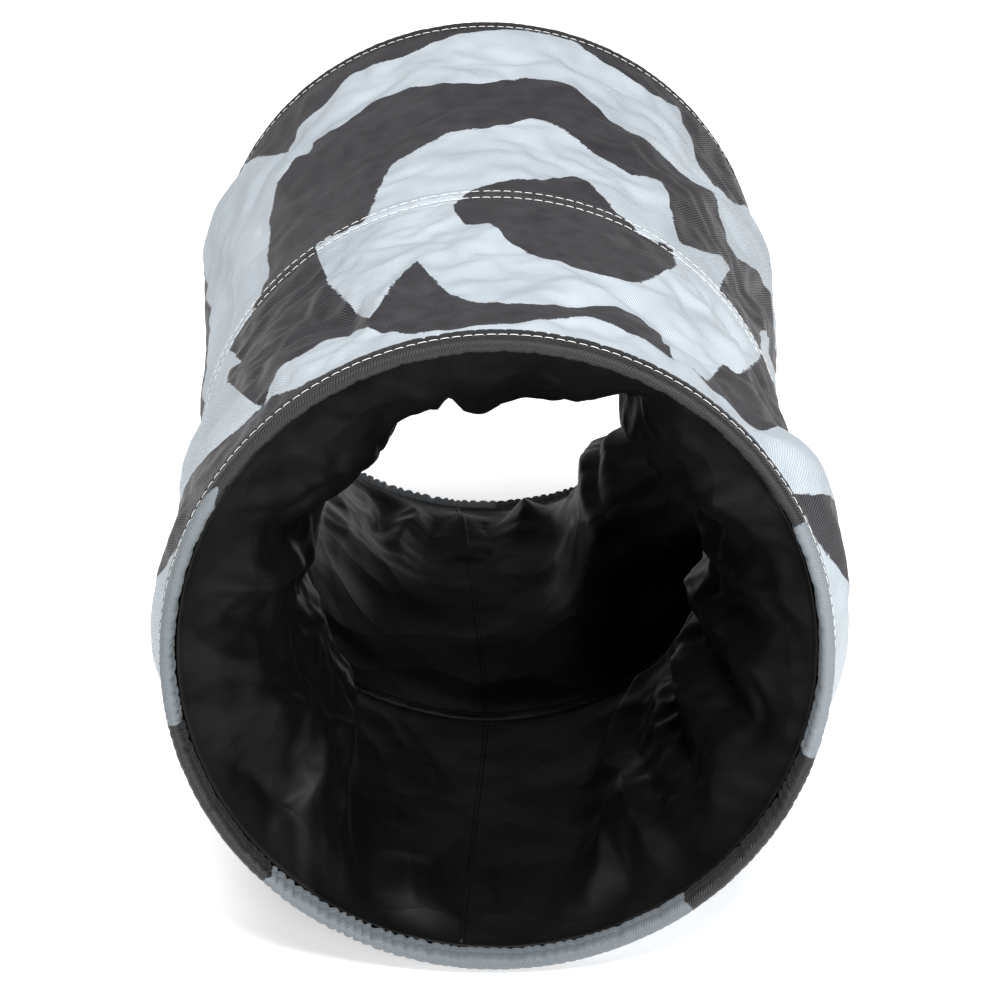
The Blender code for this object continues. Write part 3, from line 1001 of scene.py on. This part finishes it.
def make_ridge():
    """The lining's own seam, a narrow ruffled edge that stands into the tunnel at the middle hoop."""
    angles = np.linspace(-math.pi, math.pi, RING_COLUMNS, endpoint=False)
    sway = 0.0012 * ring_noise(angles, 51, 24)
    section = [(-0.0028, 0.0056), (-0.0012, 0.0064), (-0.0005, 0.0076), (0.0004, 0.0076), (0.0010, 0.0064),
               (0.0026, 0.0056), (0, 0.0050)]
    rows = []
    for along, depth in section:
        crest = smooth(0.006, 0.0075, depth)
        ruffled = depth + 0.0006 * crest * ring_noise(angles, 57, 90)
        rows.append(MIDDLE.points(angles, along + sway * crest, ruffled))
    points = np.stack(rows)
    piece = make_piece("middle_lining_edge", points, grid_faces(len(rows), RING_COLUMNS, True), LINING)
    set_attribute(piece, "across", np.repeat((angles * END_RADIUS)[None], len(rows), 0).ravel())
    set_attribute(piece, "along", np.repeat(np.array(section)[:, :1], RING_COLUMNS, 1).ravel())
    turn_out(piece)
    return piece


STITCH_PITCH = 0.0042
STITCH_LENGTH = 0.0038
THREAD_RADIUS = 0.00018


def make_stitches(name, hoop, along, depth, seed):
    """A row of separate stitches round a hoop. Each is a short thread whose ends dip into the cloth."""
    count = round(TURN * hoop.radius / STITCH_PITCH)
    drift = np.random.default_rng(seed)
    points = []
    faces = []
    sides = 6
    steps = 7
    for number in range(count):
        middle = (number + 0.5) * TURN / count + drift.normal(0, 0.0008)
        reach = STITCH_LENGTH * (1 + drift.normal(0, 0.05)) / 2 / hoop.radius
        skew = drift.normal(0, 0.00012)
        base = len(points)
        for step in range(steps):
            share = step / (steps - 1) * 2 - 1
            angle = middle + share * reach
            sink = 0.00040 * abs(share) ** 7
            girth = THREAD_RADIUS * math.sqrt(max(0.05, 1 - share ** 6))
            for side in range(sides):
                turn = side / sides * TURN
                across = along + skew * share + girth * math.cos(turn)
                points.append((angle, across, depth + sink - girth * 0.8 * math.sin(turn)))
        for step in range(steps - 1):
            for side in range(sides):
                after = (side + 1) % sides
                here = base + step * sides
                faces.append((here + side, here + after, here + sides + after, here + sides + side))
        faces.append(tuple(base + side for side in range(sides))[::-1])
        faces.append(tuple(base + (steps - 1) * sides + side for side in range(sides)))
    points = np.array(points)
    piece = make_piece(name, hoop.points(points[:, 0], points[:, 1], points[:, 2]), faces, THREAD)
    turn_out(piece)
    return piece


def make_run(name, sheet, at_hem, at_middle, width, lift, material, printed):
    """A narrow seam strip that follows a panel from hem to seam, just off its surface."""
    tree = BVHTree.FromObject(sheet, bpy.context.evaluated_depsgraph_get())
    ends = coordinates(sheet.data)[:, 1]
    low, high = ends.min() + 0.002, ends.max() - 0.002
    steps = 60
    offsets = np.array([-0.5, -0.42, -0.2, 0, 0.2, 0.42, 0.5]) * width
    heights = np.array([0.0, 0.6, 0.8, 1.0, 0.8, 0.6, 0.0]) * lift
    rows = []
    for step in range(steps + 1):
        y = low + (high - low) * step / steps
        centre = Vector((0, y, float(tube_centre(np.array(y)))))
        share = abs((y - MIDDLE_Y) / (FRONT_Y - MIDDLE_Y if y < MIDDLE_Y else REAR_Y - MIDDLE_Y))
        degrees = at_middle + (at_hem - at_middle) * share
        top = []
        for offset, height in zip(offsets, heights):
            angle = math.radians(degrees) + offset / END_RADIUS
            spoke = Vector((math.sin(angle), 0, math.cos(angle)))
            origin = centre + spoke * 0.01 if lift > 0 else centre + spoke * 0.2
            hit = tree.ray_cast(origin, spoke if lift > 0 else -spoke)[0]
            point = hit if hit else centre + spoke * 0.118
            top.append((point, spoke, height))
        rows.append([point - spoke * height for point, spoke, height in top]
                    + [point + spoke * math.copysign(0.00008, lift) for point, spoke, height in top[::-1]])
    points = np.array([[tuple(point) for point in row] for row in rows])
    count = len(rows[0])
    faces = []
    for row in range(len(rows) - 1):
        for side in range(count):
            after = (side + 1) % count
            faces.append((row * count + side, row * count + after, (row + 1) * count + after,
                          (row + 1) * count + side))
    faces.append(tuple(range(count)))
    faces.append(tuple((len(rows) - 1) * count + side for side in range(count)))
    piece = make_piece(name, points, faces, material)
    flat = points.reshape(-1, 3)
    set_attribute(piece, "across", flat[:, 0])
    set_attribute(piece, "along", flat[:, 1])
    turn_out(piece)
    if printed:
        print_on(piece)
    return piece


# --- Build ----------------------------------------------------------------------------------------


def crumple_with(piece, half):
    """Attach the piece, with a mesh of its own, to the fabric body of its half."""
    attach(piece, half + "_fabric")
    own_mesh(piece)


def build_half(half, hoop):
    """Shell, lining, hem, seams and stitches of one half of the tunnel."""
    shell = make_shell(half, hoop)
    lining = make_lining(half, hoop)
    shell_seam = make_run(half + "_underside_seam", shell, 180, 180, 0.008, -0.0005, TWILL, True)
    lining_seam = make_run(half + "_lining_floor_seam", lining, 187, 181, 0.0022, 0.0005, LINING, False)
    for piece, node, slot in (
        (shell, "_outer_panel", "printed_twill"),
        (lining, "_lining", "lining_cloth"),
        (shell_seam, "_side_seam", "printed_twill"),
        (lining_seam, "_lining_seam", "lining_cloth"),
    ):
        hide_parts(half + node)
        crumple_with(piece, half)

    hem = make_hem(half, hoop)
    seed = 7 if half == "front" else 8
    stitches = make_stitches(half + "_hem_stitches", hoop, HEM_STITCH[half], 0.0003, seed)
    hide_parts(half + "_hem")
    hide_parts(half + "_hem_stitching")
    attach(hem, half + "_end")
    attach(stitches, half + "_end")


def build_middle():
    """Everything that is sewn to the middle hoop."""
    seam = make_seam()
    ridge = make_ridge()
    front_row = make_stitches("middle_front_stitches", MIDDLE, SEAM_ROWS[0], -0.0003, 17)
    rear_row = make_stitches("middle_rear_stitches", MIDDLE, SEAM_ROWS[1], -0.0009, 19)
    for piece, node, slot in (
        (seam, "middle_seam_casing", "printed_twill"),
        (ridge, "middle_lining_ridge", "lining_cloth"),
        (front_row, "middle_front_stitching", "white_thread"),
        (rear_row, "middle_rear_stitching", "white_thread"),
    ):
        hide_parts(node)
        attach(piece, "middle")


def dress_hardware():
    """Better metal on the hoops and their crimped sleeves, which stay as the CAD has them."""
    for hoop in ("front", "middle", "rear"):
        for node, material in ((hoop + "_hoop_wire", STEEL), (hoop + "_wire_sleeve", CRIMP)):
            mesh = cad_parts[node].data
            mesh.materials.clear()
            mesh.materials.append(material)


def area_light(name, place, target, size, power):
    lamp = bpy.data.lights.new(name, "AREA")
    lamp.shape = "RECTANGLE"
    lamp.size, lamp.size_y = size
    lamp.energy = power
    light = bpy.data.objects.new(name, lamp)
    bpy.context.scene.collection.objects.link(light)
    light.location = place
    light.rotation_euler = (Vector(target) - Vector(place)).to_track_quat("-Z", "Y").to_euler()


def build_studio():
    """Pale floor, soft light and the camera."""
    mesh = bpy.data.meshes.new("studio_floor")
    side = 6.0
    signs = [(-1, -1), (1, -1), (1, 1), (-1, 1)]
    mesh.from_pydata([(side * x, side * y, FLOOR_DROP) for x, y in signs], [], [(0, 1, 2, 3)])
    mesh.materials.append(studio_floor())
    floor = bpy.data.objects.new("studio_floor", mesh)
    bpy.context.scene.collection.objects.link(floor)

    world = bpy.data.worlds.new("studio")
    bpy.context.scene.world = world
    world.use_nodes = True
    sky = world.node_tree.nodes["Background"]
    sky.inputs["Color"].default_value = (1, 1, 1, 1)
    sky.inputs["Strength"].default_value = 0.20
    area_light("overhead", (-0.25, -0.3, 2.2), (0, 0, 0.12), (1.6, 1.2), 42)
    area_light("key", (0.3, -1.35, 1.9), (0, -0.05, 0.12), (0.6, 0.6), 50)
    area_light("front", (0.45, -1.7, 0.6), (-0.08, -0.1, 0.12), (0.5, 0.5), 11)

    lens = bpy.data.cameras.new("camera")
    lens.lens = 139.5
    camera = bpy.data.objects.new("camera", lens)
    bpy.context.scene.collection.objects.link(camera)
    camera.location = CAMERA_PLACE
    camera.rotation_euler = (math.radians(66.33), 0, -math.radians(0.76))
    bpy.context.scene.camera = camera
    bpy.context.scene.view_settings.view_transform = "Standard"


build_middle()
build_half("front", FRONT)
build_half("rear", REAR)
dress_hardware()
build_studio()
